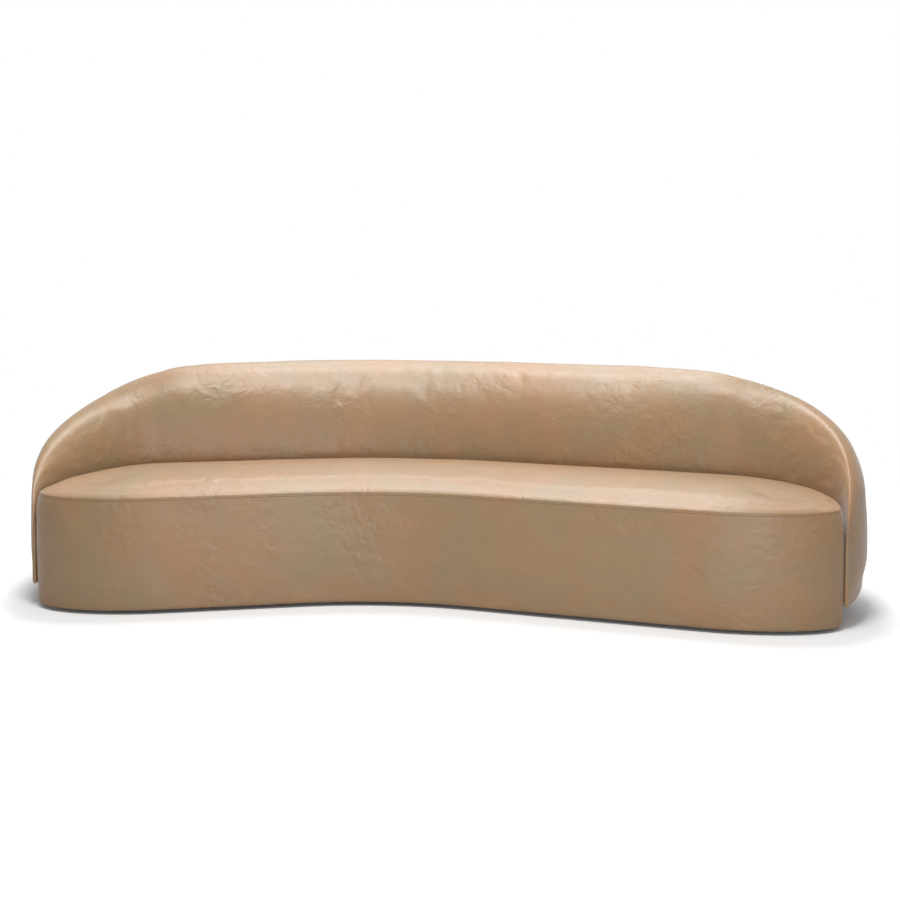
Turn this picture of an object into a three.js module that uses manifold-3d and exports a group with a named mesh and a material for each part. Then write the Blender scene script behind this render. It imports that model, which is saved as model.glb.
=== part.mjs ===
// A long curved sofa. A low upholstered seat, bent like a bean, is wrapped at its rear and round both
// its ends by a thick padded back. The back's ridge is level over the middle and falls in a smooth arc
// to a thin upright rim at each end. Millimetres, +Z up, and the front faces -Y.
import * as THREE from 'three';
import { mergeVertices } from 'three/addons/utils/BufferGeometryUtils.js';
import Module from 'manifold-3d';

const wasm = await Module();
wasm.setup();

// Driving sizes
const gap = 0.3;
const leather = 2;
const plywood = 18;
const holeClearance = 0.4;

// The plan is a straight wing, a bend and a longer straight wing. Each end is a rounded oval, and its tip
// lies forward of the seat's middle line.
const plan = {
  frontRadius: 1263.5, halfDepth: 303.3, bendDegrees: 14.04, bendSteps: 5,
  left: { wing: 487.5, reach: 439.5, tipForward: 95, frontPower: 2.03, rearPower: 1.36, wingSteps: 2 },
  right: { wing: 832, reach: 444.5, tipForward: 115, frontPower: 1.78, rearPower: 1.9, wingSteps: 3 },
};
const endShares = [0, 0.06, 0.15, 0.25, 0.36, 0.5, 0.66, 0.83, 1];

const seat = {
  seamHeight: 415, crownRise: 42, tipPull: 24, pullDepth: 100, sideSwell: 3, edgeRadius: 12,
  turnUnder: 45, deckHeight: 300, foamBand: 10, skin: 6, deckWidth: 60, baseWidth: 120,
};
const crownPower = 3.1;
const crownShares = [0, 0.015, 0.06, 0.15, 0.32, 0.6, 1];
const crownTipShare = 0.53;
const pullPower = 3;
const pullTipPower = 5;
const welt = { halfHeight: 2.2, standOut: 0.6, sides: 6 };

const back = {
  ridgeHeight: 809.5, ridgeSetback: 200, ridgeRadius: 80, swell: 300, growLength: 1150, riseLength: 811,
  rimHeight: 340, rimRadius: 10, bottom: 78, drawIn: 26, corner: 46, hemCorner: 7, seatGap: 0.5,
};
const leanStartShare = 0.47;
const swellHeightShare = 0.458;
const handleShare = 0.4;
const cornerShare = 0.55;
const windowTopShare = 0.56;
const middleRailShare = 0.823;
const growthPower = 1.34;
const bulgePower = 2.4;
const risePower = 1.5;
const riseRoundPower = 0.697;
const backSteps = { face: 4, ridge: 4, outside: 3 };
const ridgeLean = { frontDegrees: 20, rearDegrees: 10 };
const rimDegrees = [76, 52, 26];
const frameStep = 4;
const backFoam = { middle: 40, rim: 4, low: 4, outside: 10, outsideRim: 4 };
const backPanel = { inner: 6, outer: 4 };
const backFrame = { railWidth: 30, windowEdge: 42, windowRadius: 14 };

const webbing = { width: 75, thickness: 2, landing: 34, count: 13, endMargin: 150 };
const seatRibs = { count: 6, windowEdge: 50, windowRadius: 30, post: 60 };
const dust = { thickness: 1, margin: 30 };
const glide = {
  height: 11.5, radius: 22, chamfer: 2, screwRadius: 2.5, screwLength: 12, inset: 78, endMargin: 30,
};
const bolt = {
  radius: 4, headRadius: 8, headHeight: 6, nutRadius: 11, nutHeight: 5, tail: 4, height: 190,
};
const block = { width: 60, height: 90, depth: 40 };
const boltBays = [0, 1, 3, 4];
const roundSteps = 10;

// Heights that follow
const underside = glide.height + gap + dust.thickness + gap;
const baseFloor = underside + leather + gap;
const baseTop = baseFloor + plywood;
const deckFloor = seat.deckHeight - plywood;
const strapFloor = seat.deckHeight + gap;
const foamFloor = strapFloor + webbing.thickness + gap;
const weltTop = seat.seamHeight - gap;
const borderTop = weltTop - 2 * welt.halfHeight - gap;

// Depths under the seat's outline that follow
const underLeather = leather + gap;
const underBand = underLeather + seat.foamBand + gap;
const underSkin = underBand + seat.skin + gap;
const deckInside = underSkin + seat.deckWidth;

// Finishes
const finishes = {
  leather: { color: 0xb89b7a, roughness: 0.55, metalness: 0 },
  foam: { color: 0xe8e0c4, roughness: 0.95, metalness: 0 },
  plywood: { color: 0xc8a878, roughness: 0.7, metalness: 0 },
  hardwood: { color: 0xa87d52, roughness: 0.65, metalness: 0 },
  webbing: { color: 0x3a3630, roughness: 0.9, metalness: 0 },
  cloth: { color: 0x1d1d1e, roughness: 0.95, metalness: 0 },
  plastic: { color: 0x161616, roughness: 0.5, metalness: 0 },
  steel: { color: 0x9da0a4, roughness: 0.35, metalness: 0.9 },
};
const materials = {};
for (const [name, look] of Object.entries(finishes)) {
  materials[name] = new THREE.MeshStandardMaterial(look);
}
const sofa = new THREE.Group();

function addPiece(name, geometry, finish) {
  const mesh = new THREE.Mesh(geometry, materials[finish]);
  mesh.name = name;
  sofa.add(mesh);
  return mesh;
}

// Closed skins over rows of points
function signedVolume(points, faces) {
  let sum = 0;
  for (let i = 0; i < faces.length; i += 3) {
    const [a, b, c] = [points[faces[i]], points[faces[i + 1]], points[faces[i + 2]]];
    sum += a.dot(b.clone().cross(c)) / 6;
  }
  return sum;
}

function closedGeometry(points, faces) {
  const outward = signedVolume(points, faces) < 0 ? faces.reverse() : faces;
  const loose = new THREE.BufferGeometry().setFromPoints(points).setIndex(outward);
  const geometry = mergeVertices(loose);
  const merged = Array.from(geometry.index.array);
  const kept = [];
  for (let i = 0; i < merged.length; i += 3) {
    const [a, b, c] = merged.slice(i, i + 3);
    if (a !== b && b !== c && c !== a) kept.push(a, b, c);
  }
  geometry.setIndex(kept);
  geometry.computeVertexNormals();
  return geometry;
}

// Each row is one section, with as many points as the others. Rows in a ring close on themselves, and
// an open set of rows gets a flat end cut from its outline. A section that isn't a loop ends on the spine.
// From the column turnFrom on, the facets are split the other way, to match those of a neighbour whose
// points run in the other direction.
function skinOver(rows, { ring = false, loop = true, turnFrom = Infinity, outlines = [] } = {}) {
  const width = rows[0].length;
  const faces = [];
  const rowPairs = ring ? rows.length : rows.length - 1;
  const columnPairs = loop ? width : width - 1;
  for (let r = 0; r < rowPairs; r += 1) {
    const here = r * width;
    const next = ((r + 1) % rows.length) * width;
    for (let c = 0; c < columnPairs; c += 1) {
      const d = (c + 1) % width;
      const turned = c >= turnFrom;
      faces.push(here + c, here + d, turned ? next + c : next + d);
      faces.push(turned ? here + d : here + c, next + d, next + c);
    }
  }
  if (!ring) {
    const lastRow = (rows.length - 1) * width;
    const clockwise = THREE.ShapeUtils.isClockWise(outlines[0]);
    for (const [a, b, c] of THREE.ShapeUtils.triangulateShape(outlines[0], [])) {
      faces.push(...(clockwise ? [a, b, c] : [a, c, b]));
    }
    for (const [a, b, c] of THREE.ShapeUtils.triangulateShape(outlines[outlines.length - 1], [])) {
      const corners = clockwise ? [a, c, b] : [a, b, c];
      faces.push(...corners.map((corner) => corner + lastRow));
    }
  }
  return closedGeometry(rows.flat(), faces);
}

// Joins and cuts
function toSolid(geometry) {
  const bare = new THREE.BufferGeometry();
  bare.setAttribute('position', geometry.getAttribute('position'));
  if (geometry.index) bare.setIndex(geometry.index);
  const merged = mergeVertices(bare);
  return new wasm.Manifold(new wasm.Mesh({
    numProp: 3,
    vertProperties: Float32Array.from(merged.getAttribute('position').array),
    triVerts: Uint32Array.from(merged.index.array),
  }));
}

function toGeometry(solid) {
  const { vertProperties, triVerts } = solid.getMesh();
  const geometry = new THREE.BufferGeometry();
  geometry.setAttribute('position', new THREE.BufferAttribute(vertProperties, 3));
  geometry.setIndex(new THREE.BufferAttribute(triVerts, 1));
  geometry.computeVertexNormals();
  return geometry;
}

function cutFrom(geometry, cutters) {
  let solid = toSolid(geometry);
  for (const cutter of cutters) solid = solid.subtract(toSolid(cutter));
  return toGeometry(solid);
}

function common(geometry, other) {
  return toGeometry(toSolid(geometry).intersect(toSolid(other)));
}

// The plan. A station is a place on the outline. It gives the point that lies a given way outside the
// outline, or inside it where the way is negative. At minus the half depth it is on the spine.
const spineRadius = plan.frontRadius + plan.halfDepth;
const bend = THREE.MathUtils.degToRad(plan.bendDegrees);
const bendLength = 2 * bend * spineRadius;
const spineLength = plan.left.wing + bendLength + plan.right.wing;

// The way runs along the spine from the centre of the left end oval to that of the right one.
function onSpine(way) {
  const pastLeft = way - plan.left.wing;
  const angle = THREE.MathUtils.clamp(pastLeft / spineRadius - bend, -bend, bend);
  const along = new THREE.Vector2(Math.cos(angle), -Math.sin(angle));
  const point = new THREE.Vector2(Math.sin(angle), Math.cos(angle) - 1).multiplyScalar(spineRadius);
  const straight = Math.min(pastLeft, 0) + Math.max(pastLeft - bendLength, 0);
  return { point: point.addScaledVector(along, straight), along, angle };
}

function stationAt(edge, spine, tip = 0) {
  const outward = edge.clone().sub(spine).divideScalar(plan.halfDepth);
  return { edge, tip, at: (distance) => edge.clone().addScaledVector(outward, distance) };
}

// Side 1 is the rear and side -1 the front.
function station(way, side) {
  const { point, along } = onSpine(way);
  const across = new THREE.Vector2(-along.y, along.x).multiplyScalar(side);
  return stationAt(point.clone().addScaledVector(across, plan.halfDepth), point);
}

// A station on an end oval, by its share of the way out to the tip
function endStation(end, side, alongShare) {
  const [alongPower, acrossPower] = side > 0 ? [2, end.rearPower] : [end.frontPower, end.frontPower];
  const acrossShare = (1 - alongShare ** alongPower) ** (1 / acrossPower);
  const sign = end === plan.left ? -1 : 1;
  const { point, along } = onSpine(end === plan.left ? 0 : spineLength);
  const rearward = new THREE.Vector2(-along.y, along.x);
  const halfWidth = plan.halfDepth + side * end.tipForward;
  const place = (reach, across) => point.clone()
    .addScaledVector(along, sign * alongShare * reach)
    .addScaledVector(rearward, across);
  return stationAt(
    place(end.reach, side * halfWidth * acrossShare - end.tipForward),
    place(end.reach - plan.halfDepth, -end.tipForward * alongShare),
    alongShare,
  );
}

const endStations = (end, side) => endShares.map((share) => (
  endStation(end, side, Math.cos(share * Math.PI / 2))
));

// The stations of one long side, from the left tip to the right tip
function sideStations(side, fine) {
  const ways = [];
  const leftSteps = fine ? plan.left.wingSteps : 1;
  const rightSteps = fine ? plan.right.wingSteps : 1;
  for (let i = 1; i < leftSteps; i += 1) ways.push(plan.left.wing * i / leftSteps);
  for (let i = 0; i <= plan.bendSteps; i += 1) ways.push(plan.left.wing + bendLength * i / plan.bendSteps);
  for (let i = 1; i < rightSteps; i += 1) {
    ways.push(plan.left.wing + bendLength + plan.right.wing * i / rightSteps);
  }
  return [
    ...endStations(plan.left, side),
    ...ways.map((way) => station(way, side)),
    ...endStations(plan.right, side).reverse(),
  ];
}

const lift = (place, section) => section.map(({ x, y }) => {
  const { x: px, y: py } = place.at(x);
  return new THREE.Vector3(px, py, y);
});

// Moves the points of a section inward by the given amounts, which lie to the right of its direction
function insetSection(points, amounts, closed = true) {
  const count = points.length;
  const sideways = (from, to) => {
    const way = to.clone().sub(from).normalize();
    return new THREE.Vector2(way.y, -way.x);
  };
  return points.map((point, i) => {
    const before = points[closed ? (i + count - 1) % count : Math.max(i - 1, 0)];
    const after = points[closed ? (i + 1) % count : Math.min(i + 1, count - 1)];
    const one = before === point ? sideways(point, after) : sideways(before, point);
    const two = after === point ? one : sideways(point, after);
    const mitre = one.clone().add(two).divideScalar(1 + one.dot(two));
    const amount = Array.isArray(amounts) ? amounts[i] : amounts;
    return point.clone().addScaledVector(mitre, amount);
  });
}

// The seat's outline, front and back, as one ring
const seatBack = sideStations(1, false);
const seatFront = sideStations(-1, false);
const seatRing = [...seatBack, ...seatFront.slice(1, -1).reverse()];

// Near a tip the seat's top edge is drawn in, most at the seam and not at all on the spine.
function drawnIn(section, { tip }) {
  const floor = seat.seamHeight - seat.pullDepth;
  return section.map(({ x, y }) => {
    const share = THREE.MathUtils.clamp((y - floor) / seat.pullDepth, 0, 1);
    const pull = seat.tipPull * tip ** pullTipPower * share ** pullPower;
    return new THREE.Vector2(x - pull * (1 + x / plan.halfDepth), y);
  });
}

function sweep(section, loop = true) {
  const sectionAt = typeof section === 'function' ? section : () => section;
  return skinOver(
    seatRing.map((place) => lift(place, drawnIn(sectionAt(place), place))),
    { ring: true, loop },
  );
}

const box2 = (outside, inside, floor, top) => [
  new THREE.Vector2(-outside, floor), new THREE.Vector2(-outside, top),
  new THREE.Vector2(-inside, top), new THREE.Vector2(-inside, floor),
];

// The crown over the seat, measured from the seam towards the spine, and the same surface lower down
function crownPoint({ tip }, share, depth) {
  const left = 1 - share;
  const rise = seat.crownRise * (1 - (1 - crownTipShare) * tip ** 2);
  const fullness = 1 - left ** crownPower;
  const slope = share > 0
    ? rise * crownPower * left ** (crownPower - 1) / (2 * Math.sqrt(fullness) * plan.halfDepth)
    : Infinity;
  const tilt = Math.atan(slope);
  return new THREE.Vector2(
    -share * plan.halfDepth - depth * Math.sin(tilt),
    seat.seamHeight + rise * Math.sqrt(fullness) - depth * Math.cos(tilt),
  );
}
const crown = (place, depth) => crownShares.map((share) => crownPoint(place, share, depth));

function sideSwell(height) {
  const low = underside + seat.edgeRadius;
  const share = THREE.MathUtils.clamp((height - low) / (seat.seamHeight - low), 0, 1);
  return seat.sideSwell * Math.sin(Math.PI * share);
}

// Seat top cover: one leather panel over the crown, sewn into the seam at its edge
const topSection = (place) => [...crown(place, 0).reverse(), ...crown(place, leather)];
addPiece('seat_top_cover', sweep(topSection, false), 'leather');

// Seat seam welt: a folded leather lip between the two covers
const weltSection = [];
for (let i = 0; i < welt.sides; i += 1) {
  const turn = 2 * Math.PI * i / welt.sides;
  const halfWidth = (welt.standOut + leather) / 2;
  weltSection.push(new THREE.Vector2(
    (welt.standOut - leather) / 2 + halfWidth * Math.cos(turn),
    weltTop - welt.halfHeight + welt.halfHeight * Math.sin(turn),
  ));
}
addPiece('seat_seam_welt', sweep(weltSection), 'leather');

// Seat border cover: a leather band down the side, rounded at the bottom and turned under
const sideShares = [0.92, 0.84, 0.75, 0.4];
const sideHeights = sideShares.map((share) => (
  THREE.MathUtils.lerp(underside + seat.edgeRadius, seat.seamHeight, share)
));
const borderLine = [borderTop, ...sideHeights].map((height) => (
  new THREE.Vector2(sideSwell(height), height)
));
for (const degrees of [0, 45, 90]) {
  const turn = THREE.MathUtils.degToRad(degrees);
  borderLine.push(new THREE.Vector2(
    seat.edgeRadius * (Math.cos(turn) - 1),
    underside + seat.edgeRadius * (1 - Math.sin(turn)),
  ));
}
const hemLine = [...borderLine, new THREE.Vector2(-seat.turnUnder, underside)];
const borderSection = [...hemLine, ...insetSection(hemLine, leather, false).reverse()];
const borderCover = sweep(borderSection);

// Seat foam: one block on the webbing, with its crown, filled out to the covers
const foamHeights = [foamFloor, ...sideHeights.filter((height) => height > foamFloor).reverse(), borderTop];
const foamSide = foamHeights.map((height) => (
  new THREE.Vector2(sideSwell(height) - underLeather, height)
));
const foamSection = (place) => [
  new THREE.Vector2(-plan.halfDepth, foamFloor), ...foamSide, ...crown(place, underLeather),
];
addPiece('seat_foam', sweep(foamSection, false), 'foam');

// Foam band: thin foam round the seat's sides, between the border cover and the wooden skin
const bandTop = foamFloor - gap;
const bandOutside = insetSection(borderLine, underLeather, false).filter(({ y }) => y < bandTop);
const bandInside = leather + gap + seat.foamBand;
const bandSection = [
  new THREE.Vector2(sideSwell(bandTop) - underLeather, bandTop),
  ...bandOutside.map(({ x, y }) => new THREE.Vector2(Math.max(x, -bandInside), y)),
  new THREE.Vector2(-bandInside, bandTop),
];
const foamBand = sweep(bandSection);

// Seat skin: bent plywood round the seat frame
const seatSkin = sweep(box2(underBand, underBand + seat.skin, baseFloor, seat.deckHeight));

// Base ring and deck ring: flat plywood rings at the frame's bottom and top
const baseRing = sweep(box2(underSkin, underSkin + seat.baseWidth, baseFloor, baseTop));
addPiece('deck_ring', sweep(box2(underSkin, deckInside, deckFloor, seat.deckHeight)), 'plywood');

// The room inside the seat frame, for what is cut to fit it
const seatRoom = sweep([
  new THREE.Vector2(-plan.halfDepth, baseTop + gap), new THREE.Vector2(-underSkin, baseTop + gap),
  new THREE.Vector2(-underSkin, deckFloor - gap), new THREE.Vector2(-plan.halfDepth, deckFloor - gap),
], false);

function roundedWindow(width, height, radius, depth) {
  const shape = new THREE.Shape();
  const [right, top] = [width / 2, height / 2];
  shape.moveTo(-right + radius, -top);
  shape.lineTo(right - radius, -top);
  shape.absarc(right - radius, -top + radius, radius, -Math.PI / 2, 0);
  shape.absarc(right - radius, top - radius, radius, 0, Math.PI / 2);
  shape.absarc(-right + radius, top - radius, radius, Math.PI / 2, Math.PI);
  shape.absarc(-right + radius, -top + radius, radius, Math.PI, 1.5 * Math.PI);
  const options = { depth, bevelEnabled: false, curveSegments: 2 };
  return new THREE.ExtrudeGeometry(shape, options).translate(0, 0, -depth / 2).rotateX(Math.PI / 2);
}

// Turns a shape that lies along Y at the origin to lie across the spine at a place, at a height
function setAcross(geometry, way, height) {
  const { point, angle } = onSpine(way);
  return geometry.rotateZ(-angle).translate(point.x, point.y, height);
}

// Seat ribs: plywood cross walls between the rings, each with two windows
const roomHeight = deckFloor - baseTop - 2 * gap;
const roomMiddle = (deckFloor + baseTop) / 2;
const ribBay = spineLength / (seatRibs.count - 1);
const windowLength = plan.halfDepth - underSkin - seatRibs.windowEdge - seatRibs.post / 2;
const windowPlace = (windowLength + seatRibs.post) / 2;
for (let i = 0; i < seatRibs.count; i += 1) {
  const slab = new THREE.BoxGeometry(plywood, 2 * plan.halfDepth, roomHeight);
  const windows = [-1, 1].map((side) => {
    const height = roomHeight - 2 * seatRibs.windowEdge;
    const cut = roundedWindow(windowLength, height, seatRibs.windowRadius, 2 * plywood);
    return setAcross(cut.rotateZ(Math.PI / 2).translate(0, side * windowPlace, 0), i * ribBay, roomMiddle);
  });
  const wall = common(setAcross(slab, i * ribBay, roomMiddle), seatRoom);
  addPiece(`seat_rib_${i + 1}`, cutFrom(wall, windows), 'plywood');
}

// Webbing: elastic straps across the deck ring, cut to the ring at the round ends
const strapTop = strapFloor + webbing.thickness;
const strapRoom = sweep([
  new THREE.Vector2(-plan.halfDepth, strapFloor),
  new THREE.Vector2(webbing.landing - deckInside, strapFloor),
  new THREE.Vector2(webbing.landing - deckInside, strapTop),
  new THREE.Vector2(-plan.halfDepth, strapTop),
], false);
const webStart = webbing.endMargin - plan.left.reach + deckInside;
const webEnd = spineLength + plan.right.reach - deckInside - webbing.endMargin;
for (let i = 0; i < webbing.count; i += 1) {
  const way = THREE.MathUtils.lerp(webStart, webEnd, i / (webbing.count - 1));
  const strap = new THREE.BoxGeometry(webbing.width, 3 * plan.halfDepth, webbing.thickness);
  const laid = setAcross(strap, way, strapFloor + webbing.thickness / 2);
  addPiece(`webbing_${i + 1}`, common(laid, strapRoom), 'webbing');
}

// Glides: turned black feet under the base ring, each with a screw up into it
const glideSpots = [];
for (const way of [glide.endMargin, plan.left.wing + bendLength / 2, spineLength - glide.endMargin]) {
  for (const side of [1, -1]) glideSpots.push(station(way, side).at(-glide.inset));
}
const screwTop = baseFloor + glide.screwLength;
const glideProfile = [
  [0, 0], [glide.radius - glide.chamfer, 0], [glide.radius, glide.chamfer], [glide.radius, glide.height],
  [glide.screwRadius, glide.height], [glide.screwRadius, screwTop], [0, screwTop],
].map(([x, y]) => new THREE.Vector2(x, y));
const upright = (radius, floor, top) => (
  new THREE.CylinderGeometry(radius, radius, top - floor, roundSteps)
    .rotateX(Math.PI / 2).translate(0, 0, (top + floor) / 2)
);
const screwHoles = glideSpots.map(({ x, y }) => (
  upright(glide.screwRadius + holeClearance, 0, screwTop + gap).translate(x, y, 0)
));
glideSpots.forEach(({ x, y }, i) => {
  const foot = new THREE.LatheGeometry(glideProfile, roundSteps).rotateX(Math.PI / 2);
  addPiece(`glide_${i + 1}`, foot.translate(x, y, 0), 'plastic');
});
addPiece('base_ring', cutFrom(baseRing, screwHoles), 'plywood');

// Dust cover: black cloth stapled under the base, over the turned-under edge of the border cover
const dustFloor = glide.height + gap;
const dustCover = sweep([
  new THREE.Vector2(-plan.halfDepth, dustFloor), new THREE.Vector2(-dust.margin, dustFloor),
  new THREE.Vector2(-dust.margin, dustFloor + dust.thickness),
  new THREE.Vector2(-plan.halfDepth, dustFloor + dust.thickness),
], false);
addPiece('dust_cover', cutFrom(dustCover, screwHoles), 'cloth');

// The back shell. Its places follow the seat's rear outline from tip to tip, and go round each tip to
// close the rim. A place holds how far the ridge has risen there and how thin the rim has grown.
const tipSteps = rimDegrees.length;
const backStations = sideStations(1, true);
const ways = [0];
for (let i = 1; i < backStations.length; i += 1) {
  ways.push(ways[i - 1] + backStations[i].edge.distanceTo(backStations[i - 1].edge));
}
const backLength = ways[ways.length - 1];
const seatClear = seat.sideSwell + back.seatGap;
const rimMiddle = seatClear + back.rimRadius;

function rimPlace(end, degrees) {
  const turn = THREE.MathUtils.degToRad(degrees);
  const pastShare = back.rimRadius * Math.sin(turn) / (plan.halfDepth - end.tipForward);
  const alongShare = (1 - pastShare ** end.frontPower) ** (1 / end.frontPower);
  return { station: endStation(end, -1, alongShare), squeeze: Math.cos(turn), toTip: 0 };
}
const backPlaces = [
  ...rimDegrees.map((degrees) => rimPlace(plan.left, degrees)),
  ...backStations.map((place, i) => (
    { station: place, squeeze: 1, toTip: Math.min(ways[i], backLength - ways[i]) }
  )),
  ...rimDegrees.map((degrees) => rimPlace(plan.right, degrees)).reverse(),
];
for (const place of backPlaces) {
  const toGrow = 1 - Math.min(place.toTip / back.growLength, 1);
  const toRise = 1 - Math.min(place.toTip / back.riseLength, 1);
  place.growth = 1 - toGrow ** growthPower;
  place.bulge = 1 - toGrow ** bulgePower;
  place.rise = (1 - toRise ** risePower) ** riseRoundPower;
}
const framePlaces = backPlaces.slice(tipSteps + frameStep, -tipSteps - frameStep);

function bezier(start, startWay, end, endWay, steps) {
  const handle = handleShare * start.distanceTo(end);
  const curve = new THREE.CubicBezierCurve(
    start, start.clone().addScaledVector(startWay, handle),
    end.clone().addScaledVector(endWay, -handle), end,
  );
  return curve.getPoints(steps).slice(1);
}

// The shell's outline across one place: up the inner face, over the ridge, down the outer face
function backSection({ growth, bulge, rise }) {
  const grown = (small, large) => THREE.MathUtils.lerp(small, large, growth);
  const up = new THREE.Vector2(0, 1);
  const down = new THREE.Vector2(0, -1);
  const top = THREE.MathUtils.lerp(back.rimHeight, back.ridgeHeight, rise);
  const height = top - back.bottom;
  const radius = grown(back.rimRadius, back.ridgeRadius);
  const ridge = new THREE.Vector2(seatClear + grown(back.rimRadius, back.ridgeSetback), top - radius);
  const onRidge = (degrees) => {
    const turn = THREE.MathUtils.degToRad(degrees);
    return new THREE.Vector2(ridge.x + radius * Math.cos(turn), ridge.y + radius * Math.sin(turn));
  };
  const overRidge = (degrees) => {
    const turn = THREE.MathUtils.degToRad(degrees);
    return new THREE.Vector2(Math.sin(turn), -Math.cos(turn));
  };
  const leanStart = new THREE.Vector2(seatClear, back.bottom + leanStartShare * height);
  const swell = new THREE.Vector2(
    seatClear + THREE.MathUtils.lerp(2 * back.rimRadius, back.swell, bulge),
    back.bottom + swellHeightShare * height,
  );
  const foot = swell.x - back.drawIn * Math.sqrt(bulge);
  const corner = Math.min(back.corner, cornerShare * (foot - seatClear));
  const frontDegrees = 180 - grown(0, ridgeLean.frontDegrees);
  const rearDegrees = grown(0, ridgeLean.rearDegrees);
  const arc = [];
  for (let i = 0; i <= backSteps.ridge; i += 1) {
    arc.push(onRidge(THREE.MathUtils.lerp(frontDegrees, rearDegrees, i / backSteps.ridge)));
  }
  const footTop = new THREE.Vector2(foot, back.bottom + corner);
  return [
    new THREE.Vector2(seatClear, back.bottom + back.hemCorner),
    new THREE.Vector2(seatClear, (back.bottom + leanStart.y) / 2),
    leanStart,
    ...bezier(leanStart, up, arc[0], overRidge(frontDegrees), backSteps.face),
    ...arc.slice(1),
    ...bezier(arc[backSteps.ridge], overRidge(rearDegrees), swell, down, backSteps.outside),
    ...bezier(swell, down, footTop, down, backSteps.outside),
    new THREE.Vector2(foot - corner * (1 - Math.SQRT1_2), back.bottom + corner * (1 - Math.SQRT1_2)),
    new THREE.Vector2(foot - corner, back.bottom),
    new THREE.Vector2(seatClear + back.hemCorner, back.bottom),
  ];
}

// Where the stretches of that outline start
const atLean = 2;
const atRidge = atLean + backSteps.face;
const atRidgeEnd = atRidge + backSteps.ridge;
const atSeam = atRidgeEnd - 1;
const atFoot = atRidgeEnd + 2 * backSteps.outside;
const atBottom = atFoot + 2;
const atHem = atFoot + 3;

// A rim place draws the outline together towards the rim's middle line
function squeezed(section, { squeeze, rise }) {
  const top = THREE.MathUtils.lerp(back.rimHeight, back.ridgeHeight, rise) - back.rimRadius;
  const low = back.bottom + back.rimRadius;
  return section.map(({ x, y }) => new THREE.Vector2(
    rimMiddle + (x - rimMiddle) * squeeze,
    THREE.MathUtils.clamp(y, low, top) + (y - THREE.MathUtils.clamp(y, low, top)) * squeeze,
  ));
}

// Layers of the shell, as depths under its outline: the cover, the foam, the panel and the core inside
function layer({ growth }, kind) {
  const thick = THREE.MathUtils.lerp(backFoam.rim, backFoam.middle, growth);
  const thin = THREE.MathUtils.lerp(backFoam.outsideRim, backFoam.outside, growth);
  return (i) => {
    const foam = i > atRidgeEnd ? thin : (i <= atLean ? backFoam.low : thick);
    const panel = i <= atRidge ? backPanel.inner : backPanel.outer;
    if (kind === 'outline') return 0;
    if (kind === 'leather') return leather;
    if (kind === 'foam' || i >= atBottom) return underLeather;
    if (kind === 'foamBack') return underLeather + foam;
    if (kind === 'panel') return underLeather + foam + gap;
    if (kind === 'panelBack') return underLeather + foam + gap + panel;
    return underLeather + foam + gap + panel + gap;
  };
}

function sectionAt(place, kind) {
  const outline = backSection(place);
  const depthAt = layer(place, kind);
  return insetSection(outline, outline.map((point, i) => depthAt(i)));
}

// A piece of the shell between two layers, from one point of the outline to another
function trimmed(line, startGap, endGap) {
  const result = line.map((point) => point.clone());
  const pull = (index, neighbour, way) => {
    const step = result[neighbour].clone().sub(result[index]);
    result[index].addScaledVector(step.normalize(), way);
  };
  pull(0, 1, startGap);
  pull(result.length - 1, result.length - 2, endGap);
  return result;
}

function layerStrip(place, outer, inner, from, to, [startGap, endGap] = [0, 0]) {
  const [outside, inside] = [outer, inner].map((kind) => (
    trimmed(sectionAt(place, kind).slice(from, to + 1), startGap, endGap)
  ));
  return [...outside, ...inside.reverse()];
}

function shell(places, makeSection) {
  const outlines = places.map((place) => squeezed(makeSection(place), place));
  const rows = places.map((place, i) => lift(place.station, outlines[i]));
  return { rows, outlines };
}

// Draws an end row of a shell piece back towards its neighbour
function drawnBack(row, neighbour, way) {
  return row.map((point, i) => (
    point.clone().addScaledVector(neighbour[i].clone().sub(point).normalize(), way)
  ));
}

// A strip comes back along its inner face.
function stripOver(places, makeSection) {
  const { rows, outlines } = shell(places, makeSection);
  return skinOver(rows, { outlines, turnFrom: rows[0].length / 2 });
}

// Back inner cover: leather from behind the seat, up the leaning face and over the ridge to the seam
const innerCover = stripOver(backPlaces, (place) => (
  layerStrip(place, 'outline', 'leather', 0, atSeam, [0, gap / 2])
));

// Back outer cover: leather from the seam down the swelled outside and across the bottom
const outerCover = stripOver(backPlaces, (place) => (
  layerStrip(place, 'outline', 'leather', atSeam, atHem, [gap / 2, 0])
));
addPiece('back_outer_cover', outerCover, 'leather');

// Back foam: a thick pad up the inner face and over the ridge, and a thin one down the outside
const innerFoam = stripOver(framePlaces, (place) => (
  layerStrip(place, 'foam', 'foamBack', 0, atRidgeEnd, [0, gap / 2])
));
addPiece('back_outer_foam', stripOver(framePlaces, (place) => (
  layerStrip(place, 'foam', 'foamBack', atRidgeEnd, atBottom - 1, [gap / 2, 0])
)), 'foam');

// End foams: solid blocks that fill the covers from each rim to where the frame starts
const fullFoam = (place) => sectionAt(place, 'foam');
const leftFoam = shell(backPlaces.slice(1, tipSteps + frameStep + 1), fullFoam);
leftFoam.rows.push(drawnBack(leftFoam.rows.pop(), leftFoam.rows.at(-1), gap));
addPiece('back_end_foam_left', skinOver(leftFoam.rows, { outlines: leftFoam.outlines }), 'foam');
const rightFoam = shell(backPlaces.slice(-tipSteps - frameStep - 1, -1), fullFoam);
rightFoam.rows.unshift(drawnBack(rightFoam.rows.shift(), rightFoam.rows[0], gap));
addPiece('back_end_foam_right', skinOver(rightFoam.rows, { outlines: rightFoam.outlines }), 'foam');

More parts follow.
